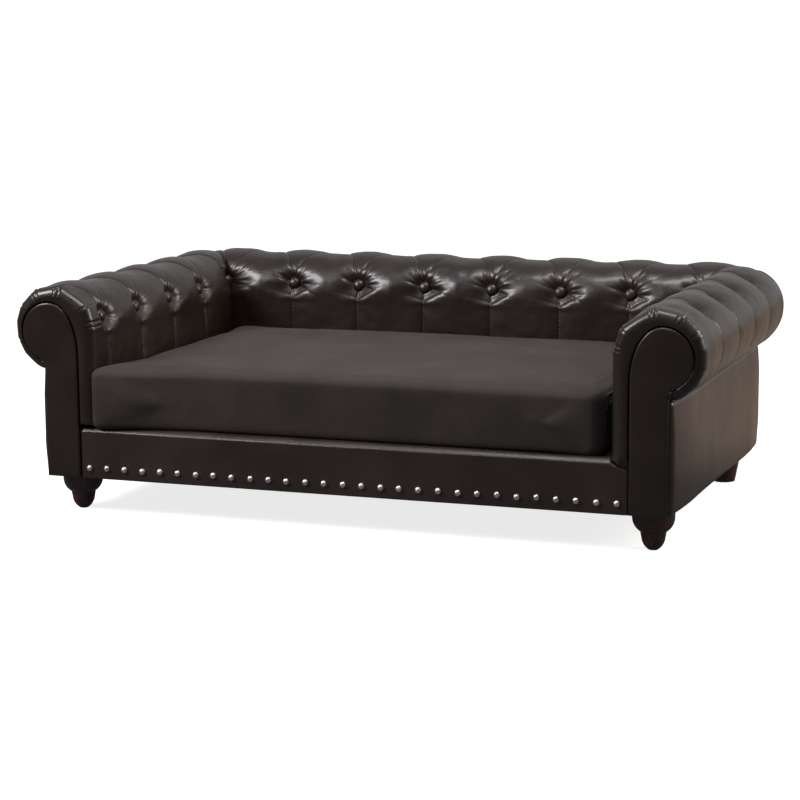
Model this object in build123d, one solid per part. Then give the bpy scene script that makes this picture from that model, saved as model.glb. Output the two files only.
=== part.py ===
from build123d import *
import os
from math import asin, cos, radians, sin

# A low dog sofa with rolled, button-tufted back and arms and one loose seat cushion.
# Millimetres. X runs along the sofa, Y to the back and Z up; the origin is on the floor,
# under the middle of the sofa's length and depth.

# Driving sizes of the sofa
overall_width = 1120.0
overall_depth = 680.0
floor_to_body = 60.0
roll_radius = 70.0
roll_centre_z = 298.0
overhang = 45.0
pad_thickness = 32.0
tuft_depth = 14.0

# Boards, panels and cloths
board_thickness = 18.0
deck_thickness = 12.0
stump_thickness = 15.0
hardboard_thickness = 5.0
outer_panel_thickness = 7.0
cloth_thickness = 1.0
rail_height = 67.0
bottom_rail_height = 24.0
post_width = 40.0
roll_board_z = 246.0
roll_board_width = 63.0
inner_board_top_z = 285.0

# Clearances, the overrun that every cut shares, and the angle of a mitred corner
soft_clearance = 0.3
fit_clearance = 0.05
seam_gap = 0.2
under_seam_gap = 0.8
overrun = 5.0
mitre_angle = 45.0

# Planes worked out from the driving sizes
half_width = overall_width / 2
front_y = -overall_depth / 2
rear_y = overall_depth / 2
arm_inner_x = half_width - 2 * roll_radius
back_inner_y = rear_y - 2 * roll_radius
corner_x = half_width - roll_radius
corner_y = rear_y - roll_radius
side_x = half_width - overhang
back_y = rear_y - overhang
board_x = arm_inner_x + pad_thickness
board_y = back_inner_y + pad_thickness
frame_x = board_x + hardboard_thickness
frame_y = board_y + hardboard_thickness
shell_x = side_x - outer_panel_thickness
shell_y = back_y - outer_panel_thickness
frame_bottom_z = floor_to_body + cloth_thickness
deck_bottom_z = frame_bottom_z + rail_height
deck_top_z = deck_bottom_z + deck_thickness
post_bottom_z = frame_bottom_z + bottom_rail_height
roll_board_top_z = roll_board_z + board_thickness

# Front rail cover
rail_cover_thickness = 12.0
rail_cover_rise = 1.0
rail_cover_lip = 5.0
rail_board_y = front_y + rail_cover_thickness
rail_cover_top_z = deck_top_z + rail_cover_rise
pad_bottom_z = rail_cover_top_z + soft_clearance

# Scroll panels: keyhole outlines on the arm fronts, and the plywood stumps behind them
band_width = 28.0
panel_gap = 1.6
panel_leg_width = 58.0
panel_shoulder_z = 258.0
panel_head_radius = 47.5
panel_head_shift = 6.0
panel_head_drop = 5.5
panel_head_angle = 10.0
panel_shoulder_bulge = 16.0
panel_notch_step = 6.0
panel_notch_rise = 12.0
panel_bottom_gap = 0.5
panel_edge_chamfer = 1.5
panel_face_proud = 1.0
panel_inner_x = arm_inner_x + band_width
panel_front_y = front_y - panel_face_proud
panel_back_y = rail_board_y
stump_inset = pad_thickness - band_width
stump_back_y = panel_back_y + stump_thickness

# Tufting: covered buttons, one at each inner corner and equal spaces between
button_angle = 163.0
button_radius = 10.5
button_edge = 2.0
button_height = 6.0
button_shank_radius = 1.5
button_shank_length = 12.0
back_button_spaces = 7
arm_button_count = 4
arm_button_margin = 62.7
button_seat_radius = roll_radius - tuft_depth
button_side = roll_radius + button_seat_radius * cos(radians(button_angle))
button_z = roll_centre_z + button_seat_radius * sin(radians(button_angle))
button_face_side = roll_radius + (button_seat_radius + button_height) * cos(radians(button_angle))
corner_station_x = arm_inner_x + button_face_side
corner_station_y = back_inner_y + button_face_side
back_button_pitch = 2 * corner_station_x / back_button_spaces
arm_button_pitch = (corner_station_y - front_y - arm_button_margin) / arm_button_count

# Section of the roll: angles of its points, and how deep the cover is drawn in at each,
# as shares of the tuft depth, at a button, a quarter space on and midway to the next
roll_angles = (180, 163, 146, 118, 90, 62, 35, 0, -30, -50, -69)
at_button_shares = (0.35, 1.0, 0.5, 0.1, 0, 0, 0, 0, 0, 0, 0)
at_quarter_shares = (0.1, 0.25, 0.45, 0.35, 0.15, 0.1, 0.05, 0, 0, 0, 0)
at_middle_shares = (0, 0.1, 0.25, 0.5, 0.5, 0.35, 0.25, 0.15, 0.1, 0.05, 0)
crest_index = 4
straight_top_drop = 48.0
front_round_steps = (16.0, 6.0, 0.0)
front_round_insets = (0.6, 3.0, 8.0)

# Nail heads along the front rail
nail_count = 29
nail_end_margin = 16.5
nail_rise = 17.5
nail_row_length = 2 * (panel_inner_x - nail_end_margin)
nail_z = floor_to_body + nail_rise
nail_head_radius = 4.75
nail_head_height = 2.2
nail_shank_radius = 0.9
nail_shank_length = 22.0

# Feet: turned ones in front, plain tapered rounds at the rear
front_foot_side_inset = 42.0
rear_foot_side_inset = 48.0
front_foot_inset = 55.0
rear_foot_inset = 55.0
foot_collar_radius = 32.0
foot_collar_height = 11.0
foot_bowl_bulge = 3.0
foot_neck_radius = 20.3
foot_neck_z = 28.0
foot_neck_step = 0.6
foot_ball_radius = 17.8
foot_ball_z = 17.0
foot_ball_bulge = 2.2
foot_rest_radius = 7.0
rear_foot_rest_radius = 18.5
rear_foot_top_radius = 30.0
rear_foot_y = back_y - rear_foot_inset
front_foot_place = (side_x - front_foot_side_inset, front_y + front_foot_inset)
rear_foot_place = (side_x - rear_foot_side_inset, rear_foot_y)

# Hanger bolts and tee nuts
bolt_radius = 4.0
bolt_foot_depth = 34.0
bolt_top_rise = 1.0
tee_nut_barrel_radius = 5.1
tee_nut_barrel_length = 12.0
tee_nut_flange_radius = 9.0
tee_nut_flange_thickness = 1.5

# Rail screws
screw_radius = 2.0
screw_length = 50.0
screw_edge = 16.0
cross_rail_x = 150.0
back_post_x = 300.0

# Seat cushion
cushion_side_gap = 9.0
cushion_back_gap = 10.0
cushion_height = 97.0
cushion_crown = 8.0
cushion_draw = 4.0
cushion_corner_radius = 20.0
cushion_edge_radius = 10.0
cushion_rounding_shares = ((0, 1.0), (0.3, 0.4), (1.0, 0))
cushion_crown_shares = ((0.25, 0.15), (0.6, 0.45), (1.0, 1.0))
cushion_cover_thickness = 2.0
cushion_x = arm_inner_x - cushion_side_gap
cushion_front_y = rail_board_y
cushion_back_y = back_inner_y - cushion_back_gap
cushion_bottom_z = deck_top_z + soft_clearance
cushion_top_z = cushion_bottom_z + cushion_height

# Zip along the cushion's right side
zip_tape_width = 22.0
zip_tape_thickness = 3.0
zip_top_drop = 16.0
zip_front_inset = 24.0
zip_length = 430.0
slider_length = 12.0
slider_width = 10.0
slider_thickness = 2.0
slider_ear_length = 3.0
slider_ear_width = 2.0
zip_pin_radius = 0.7
pull_eye_radius = 1.5
pull_length = 16.0
pull_width = 5.5
pull_thickness = 1.4
zip_x = cushion_x - cushion_draw
zip_z = cushion_top_z - zip_top_drop
zip_front_y = cushion_front_y + zip_front_inset
slider_x = zip_x + soft_clearance
slider_y = zip_front_y + slider_length / 2 + slider_ear_length
pin_x = cushion_x + soft_clearance + pull_eye_radius
pin_y = slider_y


def save(shape, node):
    export_step(shape, "parts/" + node + ".step")


def save_pair(shape, node):
    save(shape, "right_" + node)
    save(mirror(shape, about=Plane.YZ), "left_" + node)


def box(x, y, z):
    size_x = x[1] - x[0]
    size_y = y[1] - y[0]
    size_z = z[1] - z[0]
    return Pos(x[0], y[0], z[0]) * Box(size_x, size_y, size_z, align=(Align.MIN, Align.MIN, Align.MIN))


def group(solids):
    return Compound(children=list(solids))


def both_sides(shape):
    return [shape, mirror(shape, about=Plane.YZ)]


# Section of the roll, as points across (0 at the inner face) and up

def roll_points(shares, inset):
    points = []
    for angle, share in zip(roll_angles, shares):
        radius = roll_radius - tuft_depth * share - inset
        across = roll_radius + radius * cos(radians(angle))
        points.append((across, roll_centre_z + radius * sin(radians(angle))))
    return points


def arcs_through(points):
    ends = range(0, len(points) - 1, 2)
    return [Edge.make_three_point_arc(points[i], points[i + 1], points[i + 2]) for i in ends]


def lines_through(points):
    return [Edge.make_line(a, b) for a, b in zip(points, points[1:])]


def pad_wire(place, shares, inset=0.0):
    roll = roll_points(shares, inset)
    under_z = roll[-1][1]
    straight_z = roll_centre_z - straight_top_drop
    shell_across = shell_x - arm_inner_x
    under = [
        roll[-1],
        (shell_across, under_z),
        (shell_across, roll_board_z),
        (pad_thickness, roll_board_z),
        (pad_thickness, pad_bottom_z),
        (inset, pad_bottom_z),
        (inset, straight_z),
        roll[0],
    ]
    arcs = arcs_through([place(across, up) for across, up in roll])
    return Wire(arcs + lines_through([place(across, up) for across, up in under]))


def tuft_stations(pitch, quarters):
    cycle = (at_button_shares, at_quarter_shares, at_middle_shares, at_quarter_shares)
    quarter = pitch / len(cycle)
    return [(quarter * step, cycle[step % len(cycle)]) for step in range(quarters + 1)]


# Outer corner of the rolls: the roll's outer half swept about the corner's upright axis

def corner_wedge(start_angle):
    roll = roll_points(at_middle_shares, 0.0)[crest_index:]
    shell_across = shell_x - arm_inner_x
    outline = [roll[-1], (shell_across, roll[-1][1]), (shell_across, roll_board_z)]
    outline += [(roll_radius, roll_board_z), roll[0]]
    place = lambda point: Vector(point[0] - roll_radius, 0, point[1])
    edges = arcs_through([place(point) for point in roll])
    edges += lines_through([place(point) for point in outline])
    wedge = revolve(Face(Wire(edges)), axis=Axis.Z, revolution_arc=mitre_angle)
    return Pos(corner_x, corner_y, 0) * Rot(0, 0, start_angle) * wedge


def mitre_plane(side):
    shift = side * seam_gap
    return Plane(origin=(corner_x + shift, corner_y - shift, 0), x_dir=(1, 1, 0), z_dir=(1, -1, 0))


def arm_pad_form():
    place = lambda station: lambda across, up: Vector(arm_inner_x + across, station, up)
    stations = tuft_stations(arm_button_pitch, 4 * arm_button_count)
    wires = [pad_wire(place(corner_y), at_middle_shares)]
    half_step = (corner_y + corner_station_y) / 2
    wires.append(pad_wire(place(half_step), at_quarter_shares))
    wires += [pad_wire(place(corner_station_y - along), shares) for along, shares in stations]
    for step, inset in zip(front_round_steps, front_round_insets):
        wires.append(pad_wire(place(front_y + step), at_quarter_shares, inset))
    arm = Solid.make_loft(wires, ruled=True)
    arm = split(arm, bisect_by=mitre_plane(1), keep=Keep.TOP)
    return arm + corner_wedge(0)


def half_back_pad():
    place = lambda station: lambda across, up: Vector(station, back_inner_y + across, up)
    stations = tuft_stations(back_button_pitch, 2 * back_button_spaces)[::-1]
    wires = [pad_wire(place(corner_station_x - along), shares) for along, shares in stations]
    half_step = (corner_x + corner_station_x) / 2
    wires.append(pad_wire(place(half_step), at_quarter_shares))
    wires.append(pad_wire(place(corner_x), at_middle_shares))
    back = split(Solid.make_loft(wires, ruled=True), bisect_by=mitre_plane(-1), keep=Keep.BOTTOM)
    return back + corner_wedge(mitre_angle)


# Covered buttons: local Z leaves the padding square to it

def button_place(x, y, turn):
    tilt = 180 - button_angle
    return Pos(x, y, button_z) * Rot(0, 0, turn) * Rot(0, 90 - tilt, 0)


def corner_button_place(side):
    turn = -90 - side * mitre_angle
    return button_place(side * (arm_inner_x + button_side), back_inner_y + button_side, turn)


def back_button_places():
    steps = range(1, back_button_spaces)
    xs = [-corner_station_x + step * back_button_pitch for step in steps]
    middle = [button_place(x, back_inner_y + button_side, -90) for x in xs]
    return middle + [corner_button_place(-1), corner_button_place(1)]


def arm_button_places():
    steps = range(1, arm_button_count + 1)
    ys = [corner_station_y - step * arm_button_pitch for step in steps]
    return [button_place(arm_inner_x + button_side, y, 180) for y in ys]


def dome(rim_radius, edge, rise):
    sphere_radius = (rim_radius ** 2 + rise ** 2) / (2 * rise)
    half_angle = asin(rim_radius / sphere_radius) / 2
    middle_z = edge + rise - sphere_radius * (1 - cos(half_angle))
    middle = (sphere_radius * sin(half_angle), 0, middle_z)
    rim = (rim_radius, 0, edge)
    apex = (0, 0, edge + rise)
    outline = lines_through([apex, (0, 0, 0), (rim_radius, 0, 0)])
    if edge:
        outline += lines_through([(rim_radius, 0, 0), rim])
    return revolve(Face(Wire(outline + [Edge.make_three_point_arc(rim, middle, apex)])), axis=Axis.Z)


def button():
    cap = dome(button_radius, button_edge, button_height - button_edge)
    shank = Pos(0, 0, -button_shank_length / 2) * Cylinder(button_shank_radius, button_shank_length)
    return cap + shank


def button_pocket():
    pocket_radius = button_radius + soft_clearance
    pocket_height = button_height + tuft_depth
    pocket = Cylinder(pocket_radius, pocket_height, align=(Align.CENTER, Align.CENTER, Align.MIN))
    hole_length = button_shank_length + soft_clearance
    hole_radius = button_shank_radius + fit_clearance
    hole = Pos(0, 0, -hole_length / 2) * Cylinder(hole_radius, hole_length + seam_gap)
    return pocket + hole


def cut_pockets(pad, places):
    pocket = button_pocket()
    for place in places:
        pad = pad - place * pocket
    return pad


# Frame boards that the padding is built round

def arm_roll_board():
    x = (frame_x, frame_x + roll_board_width)
    return box(x, (stump_back_y, corner_y), (roll_board_z, roll_board_top_z))


def back_roll_board():
    return box((-frame_x, frame_x), (frame_y, frame_y + roll_board_width), (roll_board_z, roll_board_top_z))


def arm_inner_board():
    return box((board_x, frame_x), (stump_back_y, frame_y), (frame_bottom_z, inner_board_top_z))


def back_inner_board():
    return box((-board_x, board_x), (board_y, frame_y), (frame_bottom_z, inner_board_top_z))


# Keyhole outline of a scroll panel, drawn on the front plane

def keyhole():
    leg_outer_x = panel_inner_x + panel_leg_width
    head_x = corner_x + panel_head_shift
    head_z = roll_centre_z - panel_head_drop
    bottom_z = floor_to_body + panel_bottom_gap
    notch_x = leg_outer_x + panel_notch_step
    notch_z = head_z - (panel_head_radius ** 2 - (notch_x - head_x) ** 2) ** 0.5
    head_top = Vector(head_x, 0, head_z + panel_head_radius)
    shoulder = Vector(panel_inner_x, 0, panel_shoulder_z)
    notch = Vector(notch_x, 0, notch_z)
    chord = head_top - shoulder
    bulge = Vector(-chord.Z, 0, chord.X).normalized() * panel_shoulder_bulge
    side_x_step = panel_head_radius * cos(radians(panel_head_angle))
    side_z_step = panel_head_radius * sin(radians(panel_head_angle))
    head_side = Vector(head_x + side_x_step, 0, head_z + side_z_step)
    leg = [
        notch,
        Vector(leg_outer_x, 0, notch_z - panel_notch_rise),
        Vector(leg_outer_x, 0, bottom_z),
        Vector(panel_inner_x, 0, bottom_z),
        shoulder,
    ]
    edges = lines_through(leg)
    edges.append(Edge.make_three_point_arc(shoulder, (shoulder + head_top) * 0.5 + bulge, head_top))
    edges.append(Edge.make_three_point_arc(head_top, head_side, notch))
    return Face(Wire(edges))


def keyhole_slab(grow, y_from, y_to):
    outline = offset(keyhole(), amount=grow) if grow else keyhole()
    slab = extrude(outline, amount=y_to - y_from, dir=(0, 1, 0))
    return Pos(0, y_from, 0) * slab


def scroll_panel():
    slab = keyhole_slab(0, panel_front_y, panel_back_y)
    rim = slab.faces().sort_by(Axis.Y)[0].edges()
    return chamfer(rim, panel_edge_chamfer)


def arm_stump():
    slab = keyhole_slab(-stump_inset, panel_back_y, stump_back_y)
    foot = box((board_x, shell_x), (panel_back_y, stump_back_y), (0, frame_bottom_z))
    return slab - foot


# Padding with its tufted cover

def frame_voids():
    voids = both_sides(arm_roll_board()) + both_sides(arm_inner_board())
    return voids + [back_roll_board(), back_inner_board()]


def arm_pad():
    pad = arm_pad_form()
    for void in frame_voids():
        pad = pad - void
    pad = pad - keyhole_slab(panel_gap, panel_front_y - overrun, stump_back_y)
    places = arm_button_places() + [corner_button_place(1)]
    return cut_pockets(pad, places)


def back_pad():
    half = half_back_pad()
    pad = half + mirror(half, about=Plane.YZ)
    for void in frame_voids():
        pad = pad - void
    return cut_pockets(pad, back_button_places())


# Flat outside panels: one shell round three sides, seamed at the rear corners

def outer_shell():
    top_z = roll_centre_z + roll_radius * sin(radians(roll_angles[-1])) - under_seam_gap
    height = top_z - floor_to_body
    corner_radius = side_x - corner_x

    def plan(half_x, rear, radius, front):
        middle = (rear + front) / 2
        outline = Pos(0, middle) * Rectangle(2 * half_x, rear - front)
        return fillet(outline.vertices().sort_by(Axis.Y)[-2:], radius)

    outer = plan(side_x, back_y, corner_radius, front_y)
    inner = plan(shell_x, shell_y, corner_radius - outer_panel_thickness, front_y - overrun)
    return Pos(0, 0, floor_to_body) * extrude(outer - inner, amount=height)


def round_front_edge(panel):
    front_face = panel.faces().sort_by(Axis.Y)[0]
    outer_edge = front_face.edges().filter_by(Axis.Z).sort_by(Axis.X)[-1]
    return fillet(outer_edge, outer_panel_thickness - soft_clearance)


def outer_panels():
    shell = outer_shell()
    seam_x = corner_x - soft_clearance
    side_region = box((seam_x, side_x + overrun), (front_y - overrun, rear_y), (0, roll_centre_z))
    back_region = box((-seam_x, seam_x), (corner_y, rear_y), (0, roll_centre_z))
    return round_front_edge(shell & side_region), shell & back_region


# Padded cover of the front rail, and its nails

def nail_places():
    step = nail_row_length / (nail_count - 1)
    return [Pos(-nail_row_length / 2 + step * index, front_y, nail_z) for index in range(nail_count)]


def nail():
    head = dome(nail_head_radius, 0, nail_head_height)
    shank = Pos(0, 0, -nail_shank_length / 2) * Cylinder(nail_shank_radius, nail_shank_length)
    return Rot(90, 0, 0) * (head + shank)


def nail_holes():
    length = nail_shank_length + overrun
    hole = Rot(90, 0, 0) * Cylinder(nail_shank_radius + fit_clearance, length)
    return [place * Pos(0, nail_shank_length - length / 2, 0) * hole for place in nail_places()]


def front_rail_cover():
    half_length = panel_inner_x - panel_gap
    roll_lip = rail_cover_thickness / 2
    body = box((-half_length, half_length), (front_y, rail_board_y), (floor_to_body, rail_cover_top_z))
    front_edges = body.edges().filter_by(Axis.X).group_by(Axis.Z)[-1]
    body = fillet(front_edges, roll_lip - soft_clearance)
    bottom_edge = body.edges().filter_by(Axis.X).group_by(Axis.Z)[0].sort_by(Axis.Y)[0]
    body = fillet(bottom_edge, rail_cover_lip)
    return body - group(nail_holes())


# Base box: four rails, two cross rails, the deck, its screws and the dust cover

def base_rails():
    half_length = board_x
    inner_x = board_x - board_thickness
    front_back_y = rail_board_y + board_thickness
    rear_front_y = board_y - board_thickness
    height = (frame_bottom_z, deck_bottom_z)
    front = box((-half_length, half_length), (rail_board_y, front_back_y), height)
    rear = box((-half_length, half_length), (rear_front_y, board_y), height)
    side = box((inner_x, board_x), (front_back_y, rear_front_y), height)
    half_board = board_thickness / 2
    cross_x = (cross_rail_x - half_board, cross_rail_x + half_board)
    cross = box(cross_x, (front_back_y, rear_front_y), height)
    return front, rear, side, cross


def screw_places():
    half_board = board_thickness / 2
    heights = (frame_bottom_z + screw_edge, deck_bottom_z - screw_edge)
    columns = (board_x - half_board, cross_rail_x)
    places = []
    for x in columns:
        for z in heights:
            for side in (-1, 1):
                places.append(Pos(side * x, rail_board_y, z) * Rot(-90, 0, 0))
                places.append(Pos(side * x, board_y, z) * Rot(90, 0, 0))
    return places


def screw(extra=0.0):
    return Cylinder(screw_radius + extra, screw_length, align=(Align.CENTER, Align.CENTER, Align.MIN))


def deck_board():
    return box((-board_x, board_x), (rail_board_y, board_y), (deck_bottom_z, deck_top_z))


def foot_places():
    return [Pos(side * x, y, 0) for side in (1, -1) for x, y in (front_foot_place, rear_foot_place)]


def dust_cover():
    cover = box((-shell_x, shell_x), (rail_board_y, corner_y), (floor_to_body, frame_bottom_z))
    hole = Pos(0, 0, floor_to_body) * Cylinder(bolt_radius + soft_clearance, overrun)
    for place in foot_places():
        cover = cover - place * hole
    leg_x = (panel_inner_x - panel_gap, shell_x + overrun)
    leg = box(leg_x, (rail_board_y - overrun, panel_back_y), (0, deck_top_z))
    for notch in both_sides(leg):
        cover = cover - notch
    return cover


# Arm and back frames

def arm_bottom_rail():
    rail = box((frame_x, shell_x), (stump_back_y, corner_y), (frame_bottom_z, post_bottom_z))
    hole_radius = tee_nut_barrel_radius + fit_clearance
    hole = Pos(0, 0, frame_bottom_z) * Cylinder(hole_radius, 2 * bottom_rail_height + overrun)
    for x, y in (front_foot_place, rear_foot_place):
        rail = rail - Pos(x, y, 0) * hole
    return rail


def arm_posts():
    height = (post_bottom_z, roll_board_z)
    middle_y = (front_y + corner_y) / 2
    middle = box((frame_x, shell_x), (middle_y - post_width / 2, middle_y + post_width / 2), height)
    rear_end = rear_foot_y - tee_nut_flange_radius - overrun
    rear = box((frame_x, shell_x), (rear_end - post_width, rear_end), height)
    return group([middle, rear])


def back_bottom_rail():
    return box((-frame_x, frame_x), (frame_y, shell_y), (frame_bottom_z, post_bottom_z))


def back_posts():
    height = (post_bottom_z, roll_board_z)
    half_post = post_width / 2
    centres = (-back_post_x, 0, back_post_x)
    return group([box((x - half_post, x + half_post), (frame_y, shell_y), height) for x in centres])


# Feet with their bolts and tee nuts

def bulging_arc(start, end, bulge):
    low, high = Vector(*start), Vector(*end)
    chord = high - low
    outward = Vector(chord.Z, 0, -chord.X).normalized()
    return Edge.make_three_point_arc(low, (low + high) * 0.5 + outward * bulge, high)


def foot_bolt_hole():
    return Pos(0, 0, floor_to_body) * Cylinder(bolt_radius + fit_clearance, 2 * bolt_foot_depth)


def turned_foot():
    collar_z = floor_to_body - foot_collar_height
    rest = (foot_rest_radius, 0, 0)
    ball = (foot_ball_radius, 0, foot_ball_z)
    low_neck = (foot_neck_radius - foot_neck_step, 0, foot_neck_z - foot_neck_step)
    neck = (foot_neck_radius, 0, foot_neck_z)
    low_collar = (foot_collar_radius, 0, collar_z)
    top_rim = (foot_collar_radius, 0, floor_to_body)
    edges = lines_through([top_rim, (0, 0, floor_to_body), (0, 0, 0), rest])
    edges.append(bulging_arc(rest, ball, foot_ball_bulge))
    edges += lines_through([ball, low_neck, neck])
    edges.append(bulging_arc(neck, low_collar, foot_bowl_bulge))
    edges += lines_through([low_collar, top_rim])
    return revolve(Face(Wire(edges)), axis=Axis.Z) - foot_bolt_hole()


def tapered_foot():
    body = Cone(rear_foot_rest_radius, rear_foot_top_radius, floor_to_body)
    return Pos(0, 0, floor_to_body / 2) * body - foot_bolt_hole()


def foot_bolt():
    bottom_z = floor_to_body - bolt_foot_depth
    top_z = post_bottom_z + bolt_top_rise
    length = top_z - bottom_z
    return Pos(0, 0, (top_z + bottom_z) / 2) * Cylinder(bolt_radius, length)


def tee_nut():
    flange = Pos(0, 0, post_bottom_z + tee_nut_flange_thickness / 2)
    flange = flange * Cylinder(tee_nut_flange_radius, tee_nut_flange_thickness)
    barrel = Pos(0, 0, post_bottom_z - tee_nut_barrel_length / 2)
    barrel = barrel * Cylinder(tee_nut_barrel_radius, tee_nut_barrel_length)
    bore = Pos(0, 0, post_bottom_z) * Cylinder(bolt_radius + fit_clearance, 4 * tee_nut_barrel_length)
    return flange + barrel - bore


# Seat cushion: a stack of outlines, crowned on top, with sides drawn in between corners

def cushion_outline(z, inset):
    half = cushion_x - inset
    front = cushion_front_y + inset
    back = cushion_back_y - inset
    middle = (front + back) / 2
    radius = cushion_corner_radius
    nick = radius * (1 - cos(radians(mitre_angle)))
    at = lambda x, y: Vector(x, y, z)
    draw = cushion_draw
    points = [
        at(half, front + radius), at(half - draw, middle), at(half, back - radius),
        at(half - nick, back - nick), at(half - radius, back),
        at(0, back - draw), at(radius - half, back),
        at(nick - half, back - nick), at(-half, back - radius),
        at(draw - half, middle), at(-half, front + radius),
        at(nick - half, front + nick), at(radius - half, front),
        at(0, front + draw), at(half - radius, front),
        at(half - nick, front + nick), at(half, front + radius),
    ]
    return Wire(arcs_through(points))


def cushion_form(inset):
    low = cushion_bottom_z + inset
    high = cushion_top_z - inset
    edge = cushion_edge_radius
    crown_reach = (cushion_back_y - cushion_front_y) / 2 - 2 * cushion_corner_radius
    levels = []
    for rise, reach in cushion_rounding_shares:
        levels.append((low + edge * rise, inset + edge * reach))
    for rise, reach in cushion_rounding_shares[::-1]:
        levels.append((high - edge * rise, inset + edge * reach))
    for rise, reach in cushion_crown_shares:
        levels.append((high + cushion_crown * rise, inset + crown_reach * reach))
    outlines = [cushion_outline(z, level_inset) for z, level_inset in levels]
    return Solid.make_loft(outlines, ruled=True)


def zip_channel(clearance):
    half = zip_tape_width / 2 + clearance
    low_x = zip_x - zip_tape_thickness - clearance
    y = (zip_front_y - clearance, zip_front_y + zip_length + clearance)
    return box((low_x, cushion_x + overrun), y, (zip_z - half, zip_z + half))


def zip_tape():
    half = zip_tape_width / 2
    y = (zip_front_y, zip_front_y + zip_length)
    return box((zip_x - zip_tape_thickness, zip_x), y, (zip_z - half, zip_z + half))


def cushion_cover():
    shell = cushion_form(0) - cushion_form(cushion_cover_thickness)
    return shell - zip_channel(fit_clearance)


def cushion_foam():
    inset = cushion_cover_thickness + soft_clearance
    return cushion_form(inset) - zip_channel(soft_clearance)


def zip_slider():
    half_width = slider_width / 2
    half_length = slider_length / 2
    x = (slider_x, slider_x + slider_thickness)
    y = (slider_y - half_length, slider_y + half_length)
    plate = box(x, y, (zip_z - half_width, zip_z + half_width))
    ear_x = (slider_x, pin_x + pull_eye_radius)
    half_ear = slider_ear_length / 2
    ear_y = (pin_y - half_ear, pin_y + half_ear)
    low_ear = box(ear_x, ear_y, (zip_z - half_width, zip_z - half_width + slider_ear_width))
    high_ear = box(ear_x, ear_y, (zip_z + half_width - slider_ear_width, zip_z + half_width))
    pin = Pos(pin_x, pin_y, zip_z) * Cylinder(zip_pin_radius, slider_width - slider_ear_width)
    return plate + low_ear + high_ear + pin


def zip_pull():
    width = pull_width
    eye = Pos(pin_x, pin_y, zip_z) * Cylinder(pull_eye_radius, width)
    half = pull_thickness / 2
    tab_x = (pin_x - half, pin_x + half)
    tab = box(tab_x, (pin_y - pull_length, pin_y), (zip_z - width / 2, zip_z + width / 2))
    bore = Pos(pin_x, pin_y, zip_z) * Cylinder(zip_pin_radius + fit_clearance, width + overrun)
    return eye + tab - bore


def write_frame():
    front, rear, side, cross = base_rails()
    holes = group([place * screw(fit_clearance) for place in screw_places()])
    save(front - holes - group(nail_holes()), "front_rail_board")
    save(rear - holes, "rear_rail_board")
    save_pair(side - holes, "side_rail")
    save(group([part - holes for part in both_sides(cross)]), "deck_cross_rails")
    save(group([place * screw() for place in screw_places()]), "rail_screws")
    save(deck_board(), "deck_board")
    save(dust_cover(), "dust_cover")
    save_pair(arm_bottom_rail(), "arm_bottom_rail")
    save_pair(arm_stump(), "arm_stump")
    save_pair(arm_posts(), "arm_posts")
    save_pair(arm_inner_board(), "arm_inner_board")
    save_pair(arm_roll_board(), "arm_roll_board")
    save(back_bottom_rail(), "back_bottom_rail")
    save(back_posts(), "back_posts")
    save(back_inner_board(), "back_inner_board")
    save(back_roll_board(), "back_roll_board")


def write_upholstery():
    save_pair(arm_pad(), "arm_pad")
    save(back_pad(), "back_pad")
    side_panel, rear_panel = outer_panels()
    save_pair(side_panel, "outer_panel")
    save(rear_panel, "back_outer_panel")
    save(front_rail_cover(), "front_rail_cover")
    save_pair(scroll_panel(), "scroll_panel")
    save_pair(group([place * button() for place in arm_button_places()]), "arm_buttons")
    save(group([place * button() for place in back_button_places()]), "back_buttons")
    save(group([place * nail() for place in nail_places()]), "front_nail_heads")


def write_feet():
    save_pair(Pos(*front_foot_place, 0) * turned_foot(), "front_foot")
    save_pair(Pos(*rear_foot_place, 0) * tapered_foot(), "rear_foot")
    save(group([place * foot_bolt() for place in foot_places()]), "foot_bolts")
    save(group([place * tee_nut() for place in foot_places()]), "foot_tee_nuts")


def write_cushion():
    save(cushion_cover(), "cushion_cover")
    save(cushion_foam(), "cushion_foam")
    save(zip_tape(), "zip_tape")
    save(zip_slider(), "zip_slider")
    save(zip_pull(), "zip_pull")


os.makedirs("parts", exist_ok=True)
write_frame()
write_upholstery()
write_feet()
write_cushion()
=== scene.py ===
import math
import random

import bmesh
import bpy
from mathutils import Matrix, Vector, noise


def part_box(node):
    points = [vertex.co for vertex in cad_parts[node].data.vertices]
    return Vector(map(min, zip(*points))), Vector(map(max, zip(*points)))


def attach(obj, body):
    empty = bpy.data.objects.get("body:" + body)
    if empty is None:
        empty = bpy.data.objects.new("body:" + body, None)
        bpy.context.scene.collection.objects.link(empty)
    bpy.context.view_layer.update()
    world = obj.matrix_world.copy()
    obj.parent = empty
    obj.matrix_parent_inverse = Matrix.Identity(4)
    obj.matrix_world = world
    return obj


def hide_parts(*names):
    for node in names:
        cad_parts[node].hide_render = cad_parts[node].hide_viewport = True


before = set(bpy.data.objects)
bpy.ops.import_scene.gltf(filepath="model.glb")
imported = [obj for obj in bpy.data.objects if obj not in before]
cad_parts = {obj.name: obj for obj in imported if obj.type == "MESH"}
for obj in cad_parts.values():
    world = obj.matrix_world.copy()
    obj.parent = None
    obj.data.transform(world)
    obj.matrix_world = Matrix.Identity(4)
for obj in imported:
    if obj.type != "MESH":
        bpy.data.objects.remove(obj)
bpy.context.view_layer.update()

# Camera: an ordinary long lens about three and a half metres off, in front of the sofa's
# right half and looking slightly down at it.
camera_place = Vector((1.2456, -3.4742, 0.7857))
camera_yaw = math.radians(20.1565)
camera_pitch = math.radians(-9.716)
camera_roll = math.radians(-0.4643)
camera_lens = 101.56
film_width = 36.0
view_depth = 50.0
camera_data = bpy.data.cameras.new("camera")
camera_data.lens = camera_lens
camera_data.sensor_width = film_width
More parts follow.
